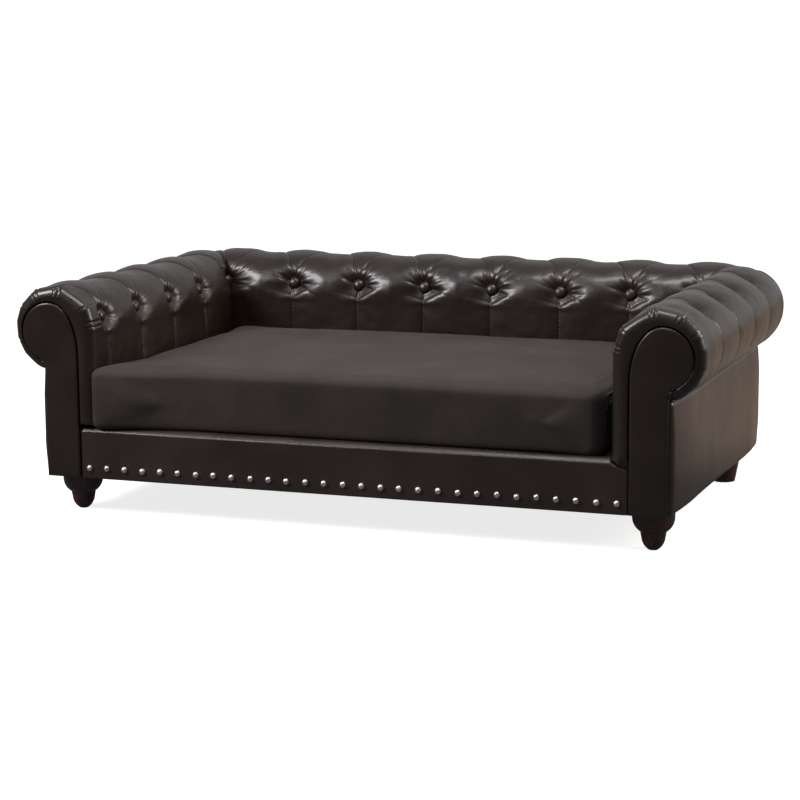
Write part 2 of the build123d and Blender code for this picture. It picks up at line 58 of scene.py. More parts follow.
camera_data.clip_end = view_depth
camera = bpy.data.objects.new("camera", camera_data)
bpy.context.scene.collection.objects.link(camera)
upright = Matrix.Rotation(math.pi / 2 + camera_pitch, 4, "X")
turn = Matrix.Rotation(camera_yaw, 4, "Z")
tilt = Matrix.Rotation(camera_roll, 4, "Z")
camera.matrix_world = Matrix.Translation(camera_place) @ turn @ upright @ tilt
bpy.context.scene.camera = camera


# Studio: a plain white floor and backdrop under a wide soft overhead light, one cool softbox
# high on the left and a warm one low on the right. The floor glows a little, so it looks
# white with faint shadows; on the sofa it acts as a dark room in front, a warm one behind.
def add_object(name, data):
    item = bpy.data.objects.new(name, data)
    bpy.context.scene.collection.objects.link(item)
    return item


def colour_ramp(nodes, stops):
    ramp = nodes.new("ShaderNodeValToRGB")
    elements = ramp.color_ramp.elements
    while len(elements) < len(stops):
        elements.new(0.5)
    for element, (position, colour) in zip(elements, stops):
        element.position = position
        element.color = (*colour, 1)
    return ramp


floor_half_size = 12.0
room_front_y = -0.5
room_rear_y = 1.5


def stage_floor():
    shape = bmesh.new()
    bmesh.ops.create_grid(shape, x_segments=2, y_segments=2, size=floor_half_size)
    mesh = bpy.data.meshes.new("floor")
    shape.to_mesh(mesh)
    shape.free()
    paper = bpy.data.materials.new("studio_paper")
    paper.use_nodes = True
    nodes, links = paper.node_tree.nodes, paper.node_tree.links
    shader = nodes["Principled BSDF"]
    place = nodes.new("ShaderNodeTexCoord")
    split = nodes.new("ShaderNodeSeparateXYZ")
    depth = nodes.new("ShaderNodeMapRange")
    depth.inputs["From Min"].default_value = room_front_y
    depth.inputs["From Max"].default_value = room_rear_y
    room = colour_ramp(nodes, [(0.32, (0.045, 0.045, 0.050)), (0.56, (0.32, 0.23, 0.17))])
    path = nodes.new("ShaderNodeLightPath")
    links.new(place.outputs["Object"], split.inputs["Vector"])
    links.new(split.outputs["Y"], depth.inputs["Value"])
    links.new(depth.outputs["Result"], room.inputs["Fac"])
    seen_grey = 0.80
    for target, other_grey in (("Emission Color", 0.0), ("Base Color", 0.08)):
        seen = nodes.new("ShaderNodeMix")
        seen.data_type = "RGBA"
        seen.inputs[6].default_value = (other_grey, other_grey, other_grey, 1)
        seen.inputs[7].default_value = (seen_grey, seen_grey, seen_grey, 1)
        links.new(path.outputs["Is Camera Ray"], seen.inputs[0])
        links.new(seen.outputs[2], shader.inputs[target])
        if target == "Emission Color":
            links.new(room.outputs["Color"], seen.inputs[6])
    shader.inputs["Emission Strength"].default_value = 1.0
    shader.inputs["Roughness"].default_value = 1.0
    shader.inputs["Specular IOR Level"].default_value = 0.0
    mesh.materials.append(paper)
    add_object("floor", mesh)


def area_lamp(name, place, target, size, power, colour):
    data = bpy.data.lights.new(name, "AREA")
    data.shape = "RECTANGLE"
    data.size = size[0]
    data.size_y = size[1]
    data.energy = power
    data.color = colour
    lamp = add_object(name, data)
    aim = (Vector(target) - Vector(place)).to_track_quat("-Z", "Y")
    lamp.matrix_world = Matrix.Translation(place) @ aim.to_matrix().to_4x4()


def sky_lamp(power, spread, lean):
    data = bpy.data.lights.new("overhead_light", "SUN")
    data.energy = power
    data.angle = math.radians(spread)
    lamp = add_object("overhead_light", data)
    lamp.matrix_world = Matrix.Rotation(math.radians(lean), 4, "X")


def surround(front, behind):
    world = bpy.data.worlds.new("surround")
    world.use_nodes = True
    nodes, links = world.node_tree.nodes, world.node_tree.links
    background = nodes["Background"]
    background.inputs["Color"].default_value = (1, 1, 1, 1)
    direction = nodes.new("ShaderNodeTexCoord")
    split = nodes.new("ShaderNodeSeparateXYZ")
    ramp = nodes.new("ShaderNodeMapRange")
    ramp.interpolation_type = "SMOOTHSTEP"
    ramp.inputs["From Min"].default_value = -0.1
    ramp.inputs["From Max"].default_value = 0.9
    ramp.inputs["To Min"].default_value = front
    ramp.inputs["To Max"].default_value = behind
    path = nodes.new("ShaderNodeLightPath")
    seen = nodes.new("ShaderNodeMix")
    seen.inputs["B"].default_value = 1.0
    links.new(direction.outputs["Generated"], split.inputs["Vector"])
    links.new(split.outputs["Y"], ramp.inputs["Value"])
    links.new(path.outputs["Is Camera Ray"], seen.inputs["Factor"])
    links.new(ramp.outputs["Result"], seen.inputs["A"])
    links.new(seen.outputs["Result"], background.inputs["Strength"])
    bpy.context.scene.world = world


stage_floor()
surround(0.05, 0.45)
sky_lamp(0.58, 120, 6)
area_lamp("high_softbox", (-2.0, -1.7, 1.9), (0.0, 0.1, 0.3), (1.0, 0.8), 60.0, (1.0, 0.95, 0.97))
area_lamp("top_softbox", (0.2, -0.6, 2.3), (0.1, -0.2, 0.2), (1.2, 0.5), 24.0, (1.0, 0.97, 0.98))
area_lamp("right_softbox", (2.8, 1.0, 1.6), (0.5, 0.0, 0.3), (1.3, 1.3), 48.0, (1.0, 0.89, 0.80))
bpy.context.scene.view_settings.view_transform = "Standard"


# Timber base: two long rails, side rails, cross rails and deck of sawn softwood, screwed
# together and hidden under the covers. Only its finish is added here; the boards behind
# the joints of the cover are coloured near-black as painted shade for those gaps, so that
# no pale wood shows through.
def group_socket(tree, name, side, value=0.0, kind="NodeSocketFloat"):
    socket = tree.interface.new_socket(name=name, in_out=side, socket_type=kind)
    if side == "INPUT":
        socket.default_value = value


def grain_group():
    tree = bpy.data.node_groups.new("surface_grain", "ShaderNodeTree")
    group_socket(tree, "Scale", "INPUT", 900.0)
    group_socket(tree, "Folds", "INPUT", 0.35)
    group_socket(tree, "Height", "OUTPUT")
    group_socket(tree, "Cloud", "OUTPUT")
    nodes, links = tree.nodes, tree.links
    source = nodes.new("NodeGroupInput")
    sink = nodes.new("NodeGroupOutput")
    place = nodes.new("ShaderNodeTexCoord")
    cells = nodes.new("ShaderNodeTexVoronoi")
    cells.feature = "SMOOTH_F1"
    folds = nodes.new("ShaderNodeTexNoise")
    folds.inputs["Scale"].default_value = 230.0
    folds.inputs["Detail"].default_value = 3.0
    cloud = nodes.new("ShaderNodeTexNoise")
    cloud.inputs["Scale"].default_value = 11.0
    cloud.inputs["Detail"].default_value = 5.0
    mix = nodes.new("ShaderNodeMath")
    mix.operation = "MULTIPLY_ADD"
    for texture in (cells, folds, cloud):
        links.new(place.outputs["Object"], texture.inputs["Vector"])
    links.new(source.outputs["Scale"], cells.inputs["Scale"])
    links.new(folds.outputs["Fac"], mix.inputs[0])
    links.new(source.outputs["Folds"], mix.inputs[1])
    links.new(cells.outputs["Distance"], mix.inputs[2])
    links.new(mix.outputs["Value"], sink.inputs["Height"])
    links.new(cloud.outputs["Fac"], sink.inputs["Cloud"])
    return tree


surface_grain = grain_group()


def grained(name, dark, light, gloss, bump, scale, folds=0.35, metal=0.0):
    material = bpy.data.materials.new(name)
    material.use_nodes = True
    nodes, links = material.node_tree.nodes, material.node_tree.links
    shader = nodes["Principled BSDF"]
    grain = nodes.new("ShaderNodeGroup")
    grain.node_tree = surface_grain
    grain.inputs["Scale"].default_value = scale
    grain.inputs["Folds"].default_value = folds
    tint = colour_ramp(nodes, [(0.3, dark), (0.7, light)])
    links.new(grain.outputs["Cloud"], tint.inputs["Fac"])
    links.new(tint.outputs["Color"], shader.inputs["Base Color"])
    dull = nodes.new("ShaderNodeMapRange")
    dull.inputs["From Min"].default_value = 0.3
    dull.inputs["From Max"].default_value = 0.7
    dull.inputs["To Min"].default_value = gloss[0]
    dull.inputs["To Max"].default_value = gloss[1]
    links.new(grain.outputs["Cloud"], dull.inputs["Value"])
    links.new(dull.outputs["Result"], shader.inputs["Roughness"])
    relief = nodes.new("ShaderNodeBump")
    relief.inputs["Strength"].default_value = bump[0]
    relief.inputs["Distance"].default_value = bump[1]
    links.new(grain.outputs["Height"], relief.inputs["Height"])
    links.new(relief.outputs["Normal"], shader.inputs["Normal"])
    shader.inputs["Metallic"].default_value = metal
    return material


def carry_over(material, *nodes):
    for node in nodes:
        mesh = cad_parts[node].data
        mesh.materials.clear()
        mesh.materials.append(material)


timber = grained(
    "sawn_softwood", (0.40, 0.26, 0.14), (0.58, 0.42, 0.25),
    gloss=(0.6, 0.8), bump=(0.3, 0.0005), scale=200.0)
carry_over(
    timber, "rear_rail_board", "left_side_rail", "right_side_rail", "deck_cross_rails",
    "left_arm_bottom_rail", "right_arm_bottom_rail", "left_arm_posts", "right_arm_posts",
    "left_arm_roll_board", "right_arm_roll_board", "back_bottom_rail", "back_posts", "back_roll_board")
# Painted shade: this near-black finish stands in for the shade inside the cover's joints.
gap_shade_black = grained(
    "gap_shade_black", (0.010, 0.009, 0.008), (0.018, 0.016, 0.015),
    gloss=(0.6, 0.8), bump=(0.3, 0.0005), scale=200.0)
carry_over(gap_shade_black, "deck_board", "front_rail_board", "left_arm_stump", "right_arm_stump")
hardboard = grained(
    "brown_hardboard", (0.20, 0.12, 0.07), (0.30, 0.19, 0.12),
    gloss=(0.5, 0.7), bump=(0.2, 0.0003), scale=900.0)
carry_over(hardboard, "left_arm_inner_board", "right_arm_inner_board", "back_inner_board")
zinc = grained(
    "zinc_plate", (0.50, 0.50, 0.50), (0.62, 0.62, 0.62),
    gloss=(0.3, 0.45), bump=(0.1, 0.0002), scale=500.0, metal=1.0)
carry_over(zinc, "rail_screws", "foot_bolts", "foot_tee_nuts")


# Dust cover: black non-woven cloth stapled under the base. It keeps its plain shape and
# gets the fuzzy finish of pressed fibre.
black_cloth = grained(
    "black_cloth", (0.010, 0.010, 0.010), (0.020, 0.020, 0.020),
    gloss=(0.8, 0.95), bump=(0.4, 0.0004), scale=1500.0)
carry_over(black_cloth, "dust_cover", "zip_tape")


# Feet: hardwood feet stained dark mahogany and lacquered, turned in front and plain tapered
# at the rear, screwed up into the arm rails with hanger bolts. The frame gives their shape.
def streaked_wood():
    material = grained(
        "mahogany_stain", (0.020, 0.005, 0.005), (0.060, 0.015, 0.013),
        gloss=(0.28, 0.42), bump=(0.08, 0.0003), scale=300.0)
    nodes, links = material.node_tree.nodes, material.node_tree.links
    shader = nodes["Principled BSDF"]
    place = nodes.new("ShaderNodeTexCoord")
    stretch = nodes.new("ShaderNodeMapping")
    stretch.inputs["Scale"].default_value = (1.0, 1.0, 0.12)
    streaks = nodes.new("ShaderNodeTexNoise")
    streaks.inputs["Scale"].default_value = 260.0
    streaks.inputs["Detail"].default_value = 5.0
    tint = colour_ramp(nodes, [(0.35, (0.020, 0.006, 0.006)), (0.68, (0.085, 0.024, 0.020))])
    links.new(place.outputs["Object"], stretch.inputs["Vector"])
    links.new(stretch.outputs["Vector"], streaks.inputs["Vector"])
    links.new(streaks.outputs["Fac"], tint.inputs["Fac"])
    links.new(tint.outputs["Color"], shader.inputs["Base Color"])
    shader.inputs["Coat Weight"].default_value = 0.4
    shader.inputs["Coat Roughness"].default_value = 0.12
    return material


carry_over(streaked_wood(), "right_front_foot", "left_front_foot", "right_rear_foot", "left_rear_foot")


# Outside covers: dark espresso imitation leather drawn over thin wadding on the two sides
# and the back, tucked under the rolls, turned in at the front edge and round the bottom.
leather = grained(
    "espresso_leather", (0.0130, 0.0072, 0.0052), (0.0210, 0.0123, 0.0093),
    gloss=(0.32, 0.42), bump=(0.30, 0.0005), scale=900.0)
leather_shader = leather.node_tree.nodes["Principled BSDF"]
leather_shader.inputs["Coat Weight"].default_value = 0.20
leather_shader.inputs["Coat Roughness"].default_value = 0.14
side_x = 0.515
back_y = 0.295
front_y = -0.340
corner_x = 0.490
corner_y = 0.270
body_bottom_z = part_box("right_outer_panel")[0].z
cover_top_z = 0.2335
front_turn_radius = 0.012
front_set_back = 0.0025
front_tuck = 0.004
front_edge_pull = 0.0030
front_edge_reach = 0.026
bottom_tuck = 0.006
bottom_turn = 0.010
bottom_corner_turn = 0.020
top_seam_dip = 0.004
top_seam_height = 0.005
cover_puff = 0.0025
puff_low_reach = 0.06
puff_top_reach = 0.05
side_fullness = 0.0035
full_front_reach = 0.12
full_rear_reach = 0.10
rear_sag = 0.006
sag_start_y = -0.15
sag_reach = 0.35
side_ripple = 0.0004
back_ripple = 0.0005
back_edge_dip = 0.0015
back_edge_reach = 0.003


def new_piece(name, shape, material):
    mesh = bpy.data.meshes.new(name)
    shape.to_mesh(mesh)
    shape.free()
    mesh.materials.append(material)
    for face in mesh.polygons:
        face.use_smooth = True
    return add_object(name, mesh)


def soft_cover(name, shape, *nodes, fill=0.8, slot="leather", material=leather):
    piece = new_piece(name, shape, material)
    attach(piece, "sofa")
    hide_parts(*nodes)
    return piece


def grid_shape(columns, rows, place):
    """A grid whose corners are sent to place(column share, row share)."""
    shape = bmesh.new()
    bmesh.ops.create_grid(shape, x_segments=columns, y_segments=rows, size=0.5)
    for vertex in shape.verts:
        vertex.co = place(vertex.co.x + 0.5, vertex.co.y + 0.5)
    return shape


def pinch(distance, depth, width):
    """A sharp crease: its depth at a distance from its line."""
    return depth * math.exp(-distance / width)


def hump(value, middle, width):
    """A soft bump between 0 and 1, highest at the middle."""
    return math.exp(-((value - middle) / width) ** 2)


def mirror_shape(shape):
    bmesh.ops.scale(shape, vec=(-1, 1, 1), verts=shape.verts)
    bmesh.ops.reverse_faces(shape, faces=shape.faces)
    return shape


def smooth_share(value):
    value = max(0.0, min(1.0, value))
    return value * value * (3 - 2 * value)


def upright_sink(share, radius):
    """Height of a place on an outside cover, and how far its tucked ends lie inside."""
    travel = share * (cover_top_z - body_bottom_z + bottom_tuck)
    if travel < bottom_tuck:
        return body_bottom_z, radius + bottom_tuck - travel
    height = travel - bottom_tuck
    sink = 0.0
    if height < radius:
        sink = radius - math.sqrt(radius * radius - (radius - height) ** 2)
    below_top = cover_top_z - body_bottom_z - height
    sink += top_seam_dip * hump(below_top, 0, top_seam_height)
    sink -= cover_puff * smooth_share(height / puff_low_reach) * smooth_share(below_top / puff_top_reach)
    return body_bottom_z + height, sink


def cover_noise(point, depth):
    broad_scale = 9
    fine_scale = 23
    fine_share = 0.4
    return depth * (noise.noise(point * broad_scale) + fine_share * noise.noise(point * fine_scale))


def side_cover_place(along_share, up_share):
    edge_y = front_y + front_set_back
    end_radius = side_x - corner_x
    turn_x = side_x - front_turn_radius
    turn_y = edge_y + front_turn_radius
    front = front_tuck + front_turn_radius * math.pi / 2
    straight = corner_y - edge_y - front_turn_radius
    travel = along_share * (front + straight + end_radius * math.pi / 2)
    radius = bottom_turn
    edge = 1.0
    if travel < front_tuck:
        base = Vector((turn_x, edge_y + front_tuck - travel, 0))
        out = Vector((-0.3, -1, 0)).normalized()
    elif travel < front:
        angle = (travel - front_tuck) / front_turn_radius
        out = Vector((math.sin(angle), -math.cos(angle), 0))
        base = Vector((turn_x, turn_y, 0)) + out * front_turn_radius
    elif travel < front + straight:
        out = Vector((1, 0, 0))
        base = Vector((side_x, turn_y + travel - front, 0))
        edge = pinch(travel - front, 1.0, front_edge_reach)
    else:
        angle = (travel - front - straight) / end_radius
        out = Vector((math.cos(angle), math.sin(angle), 0))
        base = Vector((corner_x, corner_y, 0)) + out * end_radius
        edge = 0.0
        radius = bottom_turn + bottom_corner_turn * math.sin(2 * angle) ** 2
    z, sink = upright_sink(up_share, radius)
    point = base - out * sink
    point.x -= front_edge_pull * edge
    point.z = z
    low = smooth_share((cover_top_z - z) / (cover_top_z - body_bottom_z))
    front_share = smooth_share((point.y - front_y) / full_front_reach)
    point.x += side_fullness * front_share * smooth_share((back_y - point.y) / full_rear_reach)
    point.z -= rear_sag * low * smooth_share((point.y - sag_start_y) / sag_reach)
    return point + out * cover_noise(point, side_ripple)


for side in ("right", "left"):
    shape = grid_shape(300, 90, side_cover_place)
    if side == "left":
        mirror_shape(shape)
    soft_cover(side + "_outside_cover", shape, side + "_outer_panel", fill=0.9)


def back_cover_place(along_share, up_share):
    x = corner_x * (1 - 2 * along_share)
    z, sink = upright_sink(up_share, bottom_turn)
    sink += pinch(corner_x - abs(x), back_edge_dip, back_edge_reach)
    point = Vector((x, back_y - sink, z))
    point.y += cover_noise(point, back_ripple)
    return point


soft_cover("back_outside_cover", grid_shape(330, 90, back_cover_place), "back_outer_panel", fill=0.9)


# Front rail cover: a duller piece of the same leather over a padded rail board, rolled over
# the top edge in front of the cushion and pulled tight at each nail.
rail_leather = grained(
    "rail_leather", (0.0140, 0.0070, 0.0048), (0.0220, 0.0120, 0.0086),
    gloss=(0.36, 0.46), bump=(0.45, 0.0006), scale=800.0)
rail_leather.node_tree.nodes["Principled BSDF"].inputs["Specular IOR Level"].default_value = 0.75
panel_inner_x = 0.448
panel_gap = 0.0016
arm_inner_x = 0.420
rail_length = 2 * (panel_inner_x - panel_gap)
rail_turn = 0.012
rail_top_z = 0.1432
rail_roll = 0.016
rail_depth = 0.018
rail_foot_turn = 0.004
rail_tuck = 0.006
rail_puff = 0.0016
rail_end_blend = 0.008
rail_end_drop = 0.006
rail_end_slope = 0.3
rail_end_dip = 0.002
rail_end_widening = 0.0010
rail_widening_reach = 0.003
rail_ripple = 0.0004
rail_fine_ripple = 0.00015
rail_fine_scale = 90
nail_dip = 0.0010
nail_dip_radius = 0.0075
nail_count = 29
nail_row_length = 0.863
nail_z = 0.0775
nail_pitch = nail_row_length / (nail_count - 1)


def rail_profile(share, roll, top):
    """Y behind the rail's front and Z at a place on its profile, from underneath to the back."""
    low = rail_foot_turn
    flat = top - roll - low - body_bottom_z
    runs = (rail_tuck, low * math.pi / 2, flat, roll * math.pi / 2, rail_depth - roll, rail_tuck)
    travel = share * sum(runs)
    if travel < runs[0]:
        return low + runs[0] - travel, body_bottom_z
    travel -= runs[0]
    if travel < runs[1]:
        angle = travel / low
        return low - low * math.sin(angle), body_bottom_z + low - low * math.cos(angle)
    travel -= runs[1]
    if travel < runs[2]:
        return 0.0, body_bottom_z + low + travel
    travel -= runs[2]
    if travel < runs[3]:
        angle = travel / roll
        return roll - roll * math.cos(angle), top - roll + roll * math.sin(angle)
    travel -= runs[3]
    if travel < runs[4]:
        return roll + travel, top
    travel -= runs[4]
    return rail_depth, top - travel


def nail_distance(x, z):
    nearest = min(round((x + nail_row_length / 2) / nail_pitch), nail_count - 1)
    nail_x = max(0, nearest) * nail_pitch - nail_row_length / 2
    return math.hypot(x - nail_x, z - nail_z)


def rail_place(along_share, up_share):
    spread = (rail_length + 2 * rail_turn) * (0.5 - along_share)
    turned_in = max(0.0, abs(spread) - rail_length / 2)
    x = math.copysign(abs(spread) - turned_in, spread)
    beyond = smooth_share((x - arm_inner_x + rail_end_blend / 2) / rail_end_blend)
    top = rail_top_z - beyond * (rail_end_drop + rail_end_slope * max(0.0, x - arm_inner_x))
    depth, z = rail_profile(up_share, rail_roll - rail_end_drop * beyond, top)
    height = (z - body_bottom_z) / (rail_top_z - body_bottom_z)
    sink = -rail_puff * math.sin(math.pi * height) * (1 - beyond)
    sink += nail_dip * hump(nail_distance(x, z), 0, nail_dip_radius)
    wave = Vector((x, 0, z))
    sink += cover_noise(wave, rail_ripple) + rail_fine_ripple * noise.noise(wave * rail_fine_scale)
    sink += pinch(rail_length / 2 - abs(x), rail_end_dip, rail_end_dip)
    widening = rail_end_widening * smooth_share(turned_in / rail_widening_reach)
    y = front_y + max(depth + sink, turned_in + rail_end_dip)
    return Vector((x + math.copysign(widening, x), y, z))


soft_cover(
    "rail_cover", grid_shape(430, 74, rail_place), "front_rail_cover", fill=0.9, material=rail_leather)


# Nails: a row of domed upholstery nails with polished nickel heads, driven through the
# rail cover into the board by hand, so they sit a little unevenly.
nickel = grained(
    "nickel", (0.80, 0.70, 0.61), (0.94, 0.84, 0.75),
    gloss=(0.32, 0.44), bump=(0.05, 0.0002), scale=700.0, metal=1.0)
nail_radius = 0.0050
nail_rise = 0.0036
nail_skirt = 0.0012
nail_stand_off = 0.0006
nail_drift_x = 0.0010
nail_drift_z = 0.0009
nail_lean = 0.08


def dome_profile(shape, radius, rise, steps):
    edges = []
    last = None
    for step in range(steps + 1):
        angle = math.pi / 2 * step / steps
        vertex = shape.verts.new((radius * math.cos(angle), 0, rise * math.sin(angle)))
        if last is not None:
            edges.append(shape.edges.new((last, vertex)))
        last = vertex
    return edges


def spun_dome(radius, rise, steps, segments, skirt=0.0):
    shape = bmesh.new()
    edges = dome_profile(shape, radius, rise, steps)
    if skirt:
        foot = shape.verts.new((radius, 0, -skirt))
        shape.verts.ensure_lookup_table()
        edges.append(shape.edges.new((foot, shape.verts[0])))
    geometry = list(shape.verts) + edges
    bmesh.ops.spin(
        shape, geom=geometry, axis=(0, 0, 1), cent=(0, 0, 0), angle=2 * math.pi,
        steps=segments, use_merge=True)
    bmesh.ops.remove_doubles(shape, verts=shape.verts, dist=1e-6)
    bmesh.ops.recalc_face_normals(shape, faces=shape.faces)
    return shape


def add_copies(target, source, places):
    mesh = bpy.data.meshes.new("copy")
    source.to_mesh(mesh)
    source.free()
    for place in places:
        before = len(target.verts)
        target.from_mesh(mesh)
        target.verts.ensure_lookup_table()
        bmesh.ops.transform(target, matrix=place, verts=target.verts[before:])
    bpy.data.meshes.remove(mesh)


hand = random.Random(7)
nail_places = []
for index in range(nail_count):
    x = index * nail_pitch - nail_row_length / 2 + hand.uniform(-nail_drift_x, nail_drift_x)
    z = nail_z + hand.uniform(-nail_drift_z, nail_drift_z)
    face_out = Matrix.Rotation(math.pi / 2 + hand.uniform(-nail_lean, nail_lean), 4, "X")
    nail_places.append(Matrix.Translation((x, front_y + nail_stand_off, z)) @ face_out)
nails = bmesh.new()
add_copies(nails, spun_dome(nail_radius, nail_rise, 5, 16, skirt=nail_skirt), nail_places)
nail_heads = new_piece("nail_heads", nails, nickel)
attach(nail_heads, "sofa")
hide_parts("front_nail_heads")


# Scroll panels: keyhole-shaped boards padded with thin foam and covered in the leather,
# pressed on to the arm fronts inside the pleated band, with a dark joint all round.
leg_width = 0.058
notch_step = 0.006
notch_rise = 0.012
head_centre = Vector((0.496, 0.2925))
head_radius = 0.0475
shoulder = Vector((panel_inner_x, 0.258))
panel_face_y = -0.3425
panel_back_y = -0.328
panel_edge_depth = 0.0042
panel_lift = 0.0005
outline_start = 0.01
outline_step = 0.018
edge_rings = ((0.0003, 0.0014), (0.0005, 0.0010), (0.0008, 0.0007), (0.0012, 0.0004), (0.0016, 0.0002))


def shoulder_point(share):
    """A place on the quarter oval from the panel's inner edge up to the head's top."""
    angle = share * math.pi / 2
    width = head_centre.x - shoulder.x
    height = head_centre.y + head_radius - shoulder.y
    return Vector((head_centre.x - width * math.cos(angle), shoulder.y + height * math.sin(angle)))


def keyhole_outline():
    leg_x = panel_inner_x + leg_width
    notch_x = leg_x + notch_step
    drop = math.sqrt(head_radius ** 2 - (notch_x - head_centre.x) ** 2)
    notch_angle = math.atan2(-drop, notch_x - head_centre.x)
    notch_z = head_centre.y - drop
    bottom = body_bottom_z + panel_lift
    points = [Vector((leg_x, bottom)), Vector((panel_inner_x, bottom))]
    points += [Vector((panel_inner_x, bottom + outline_start + outline_step * k)) for k in range(11)]
    points += [shoulder_point(k / 18) for k in range(18)]
    sweep = math.pi / 2 - notch_angle
    for k in range(40):
        angle = math.pi / 2 - sweep * k / 39
        points.append(head_centre + head_radius * Vector((math.cos(angle), math.sin(angle))))
    points += [Vector((leg_x, notch_z - notch_rise - outline_step * k)) for k in range(10)]
    return points


def scroll_panel():
    """The keyhole face, rounded off by a few narrow rings, with a wall back to the arm."""
    shape = bmesh.new()
    rim_y = panel_face_y + panel_edge_depth
    ring = [shape.verts.new((point.x, rim_y, point.y)) for point in keyhole_outline()]
    face = shape.faces.new(ring)
    face.normal_update()
    if face.normal.y > 0:
        face.normal_flip()
    rim = list(face.edges)
    for width, rise in edge_rings:
        bmesh.ops.inset_individual(
            shape, faces=[face], thickness=width, depth=rise, use_even_offset=True)
    wall = bmesh.ops.extrude_edge_only(shape, edges=rim)
    back = [item for item in wall["geom"] if isinstance(item, bmesh.types.BMVert)]
    wall_depth = panel_back_y - panel_face_y - panel_edge_depth
    bmesh.ops.translate(shape, vec=(0, wall_depth, 0), verts=back)
    bmesh.ops.recalc_face_normals(shape, faces=shape.faces)
    return shape


for side in ("right", "left"):
    shape = scroll_panel()
    if side == "left":
        mirror_shape(shape)
    soft_cover(side + "_keyhole_cover", shape, side + "_scroll_panel", fill=1.0)


# Tufted rolls: wadding under one pleated leather cover, pulled in by a row of buttons. Two
# pleats climb from each button over the roll and meet the neighbours' midway on its
# outside; a stitched seam drops from each button to the seat.
roll_radius = 0.070
roll_centre_z = 0.298
rear_y = 0.340
back_inner_y = rear_y - 2 * roll_radius
pad_bottom_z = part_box("right_arm_pad")[0].z
last_angle = math.radians(-69)
button_angle = math.radians(163)
button_face_radius = 0.062
button_face_side = roll_radius + button_face_radius * math.cos(button_angle)
back_pitch_count = 7
back_pitch = 2 * (arm_inner_x + button_face_side) / back_pitch_count
arm_pitch = 0.122
straight_length = roll_centre_z - pad_bottom_z
arc_length = roll_radius * (math.pi - last_angle)
tuck_length = 0.008
section_length = straight_length + arc_length + tuck_length
button_station = straight_length + roll_radius * (math.pi - button_angle)
junction_rise = 0.126
valley_rise = 0.100
seam_top = -0.027
arm_crispness = 0.36
dimple_depth = 0.0115
dimple_radius = 0.0155
bowl_depth = 0.0050
bowl_radius = 0.036
fold_limit = 0.075
fold_middle = 0.016
fold_width = 0.0016
fold_spread = 0.05
right_fold = (0.0026, 0.021)
left_fold = (0.0034, 0.016)
pleat_power = 1.4
pleat_start = 0.014
pleat_crease = (0.0026, 0.0018)
pleat_slope = (0.0022, 0.009)
right_pleat_share = 0.35
junction_hollow = 0.0085
junction_radius = 0.017
outer_seam_crease = (0.0018, 0.0016)
outer_seam_slope = (0.0019, 0.012)
outer_seam_fade = 0.20
outer_seam_least_share = 0.35
valley_depth = 0.0056
valley_power = 1.3
valley_reach = 0.062
right_arch_height = 0.024
left_arch_height = 0.013
left_arch_share = 0.7
arch_hollow = 0.0050
arch_hollow_rise = 0.006
arch_hollow_reach = 0.010
arch_crease = (0.0020, 0.0022)
seam_crease = (0.0016, 0.0016)
seam_slope = (0.0042, 0.015)
seam_upper_share = 0.4
seam_upper_reach = 0.010
seam_lower_reach = 0.012


def section_point(station):
    """A place on the roll's section, its width as x and its height as y, and the way out."""
    if station < straight_length:
        return Vector((0, pad_bottom_z + station)), Vector((-1, 0))
    centre = Vector((roll_radius, roll_centre_z))
    angle = math.pi - (station - straight_length) / roll_radius
    if angle < last_angle:
        end = Vector((math.cos(last_angle), math.sin(last_angle))) * roll_radius
        inward = min(tuck_length, (last_angle - angle) * roll_radius)
        return centre + end - Vector((inward, 0)), Vector((0.2, -1)).normalized()
    out = Vector((math.cos(angle), math.sin(angle)))
    return centre + out * roll_radius, out


def button_folds(key):
    """Directions, depths and reaches of the small folds that radiate from one button."""
    dice = random.Random(key)
    folds = []
    for base in (-24, -5, 15, 34, 53, 126, 145, 162, 262):
        direction = math.radians(base + dice.uniform(-6, 6))
        fold_depth, fold_reach = right_fold if base < 90 else left_fold
        depth = fold_depth * dice.uniform(0.6, 1.1)
        reach = fold_reach * dice.uniform(0.8, 1.2)
        folds.append((Vector((math.cos(direction), math.sin(direction))), depth, reach))
    return folds


folds_by_button = {key: button_folds(key) for key in range(-40, 40)}


def fold_sink(place, key, crisp):
    """The small folds that radiate from the button at the place's origin."""
    sink = 0.0
    for direction, depth, length in folds_by_button[key]:
        forward = place.dot(direction)
        if forward > 0:
            across = abs(place.x * direction.y - place.y * direction.x)
            fold = pinch(across, 1.0, fold_width + fold_spread * forward)
            sink += crisp * depth * (fold * hump(forward, fold_middle, length))
    return sink


def pleat_sink(side, rise, half):
    """The two pleats that climb from a button and the seam that goes on where pleats meet."""
    reach = abs(side)
    sink = 0.0
    climb = min(1.0, rise / junction_rise)
    path = half * climb ** pleat_power
    slope = half * pleat_power / junction_rise * climb ** (pleat_power - 1)
    gap = abs(reach - path) / math.hypot(1, slope)
    if rise < junction_rise:
        strength = 1.0 if side < 0 else right_pleat_share
        strength *= smooth_share(rise / pleat_start) * (1 - 0.3 * climb)
        sink += strength * (pinch(gap, *pleat_crease) + pinch(gap, *pleat_slope))
    beyond = rise - junction_rise
    to_middle = half - reach
    sink += junction_hollow * hump(math.hypot(to_middle, beyond), 0, junction_radius)
    if beyond > 0:
        fade = max(outer_seam_least_share, 1 - beyond / outer_seam_fade)
        sink += fade * (pinch(to_middle, *outer_seam_crease) + pinch(to_middle, *outer_seam_slope))
    return sink


